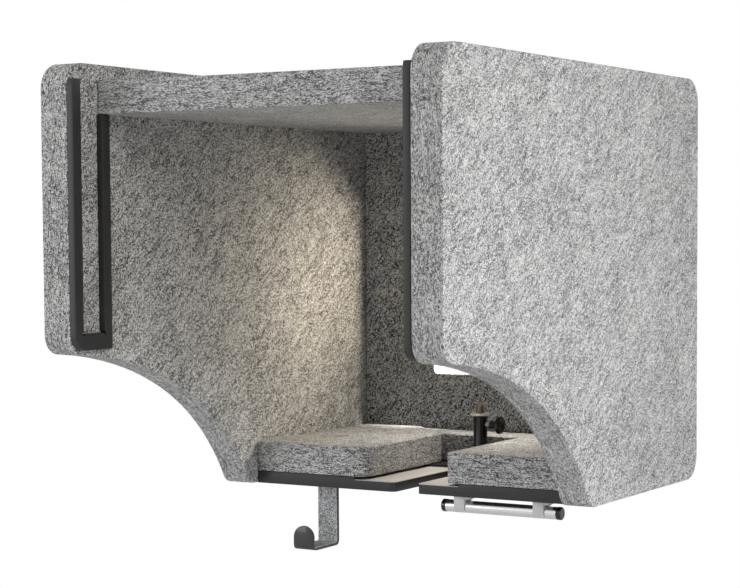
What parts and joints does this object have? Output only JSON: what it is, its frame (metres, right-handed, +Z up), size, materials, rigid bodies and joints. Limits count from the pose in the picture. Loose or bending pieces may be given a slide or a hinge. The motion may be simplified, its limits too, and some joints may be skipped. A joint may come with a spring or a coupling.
{
  "type": "vocal booth",
  "caption": "Open-fronted felt hood for singing into a microphone: side panels, ceiling and windowed back wall over a slotted floor board with a microphone post, headphone hook and tube.",
  "frame": {"origin": "the underside of the floor board on the centre plane, between the slot's end and the microphone post, where a stand carries the booth", "axes": "+Z up, +X to the singer's right, +Y from the open front towards the back wall"},
  "size_m": [0.684, 0.9, 0.784],
  "materials": {
    "felt": "matt grey pressed felt",
    "black_board": "black coated board",
    "pale_sheet": "satin",
    "black_steel": "black powder coat",
    "bright_steel": "bright zinc",
    "tube_chrome": "polished",
    "nickel": "satin nickel",
    "black_plastic": "matt",
    "clip_plastic": "light grey, fine ribs",
    "clear_pane": "clear",
    "beech": "raw"
  },
  "bodies": {
    "booth": {"left_side_panel": "felt", "right_side_panel": "felt", "ceiling_panel": "felt", "back_panel": "felt", "window_pane": "clear_pane", "left_guide_frame": "black_board", "right_guide_frame": "black_board", "floor_board": "black_board", "recess_sheet": "pale_sheet", "left_floor_pad": "felt", "right_floor_pad": "felt", "back_floor_pad": "felt", "mic_post_tube": "black_steel", "post_washer": "bright_steel", "post_bolt": "bright_steel", "headphone_hook": "black_steel", "hook_lining": "felt", "hook_screw_left": "bright_steel", "hook_screw_right": "bright_steel", "accessory_tube": "tube_chrome", "tube_cap_left": "black_plastic", "tube_cap_right": "black_plastic", "pipe_clip_left": "clip_plastic", "pipe_clip_right": "clip_plastic", "clip_screw_left": "bright_steel", "clip_screw_right": "bright_steel", "ceiling_dowel_left_front": "beech", "ceiling_dowel_left_rear": "beech", "ceiling_dowel_right_front": "beech", "ceiling_dowel_right_rear": "beech", "back_dowel_left_low": "beech", "back_dowel_left_high": "beech", "back_dowel_right_low": "beech", "back_dowel_right_high": "beech", "floor_dowel_left_front": "beech", "floor_dowel_left_rear": "beech", "floor_dowel_right_front": "beech", "floor_dowel_right_rear": "beech"},
    "mic_rod": {"mic_rod": "nickel"},
    "lock_ring": {"lock_ring": "nickel"},
    "clamp_screw": {"clamp_screw": "bright_steel"},
    "clamp_knob": {"clamp_knob": "black_plastic"}
  },
  "joints": [
    {"name": "mic_rod_slide", "type": "slide", "parent": "booth", "child": "mic_rod", "axis": [0, 0, 1], "range_m": [0, 0.03]},
    {"name": "lock_ring_turn", "type": "hinge", "parent": "mic_rod", "child": "lock_ring", "pos_m": [0, 0.035, 0.1075], "axis": [0, 0, 1], "range_deg": [-180, 180]},
    {"name": "clamp_screw_travel", "type": "slide", "parent": "booth", "child": "clamp_screw", "axis": [1, 0, 0], "range_m": [0, 0.0019]},
    {"name": "clamp_knob_turn", "type": "hinge", "parent": "clamp_screw", "child": "clamp_knob", "pos_m": [0.03, 0.035, 0.0897], "axis": [1, 0, 0], "range_deg": [0, 540]}
  ],
  "couplings": [
    {"joint": "clamp_screw_travel", "follows": "clamp_knob_turn", "m_per_rad": 0.00019894}
  ]
}
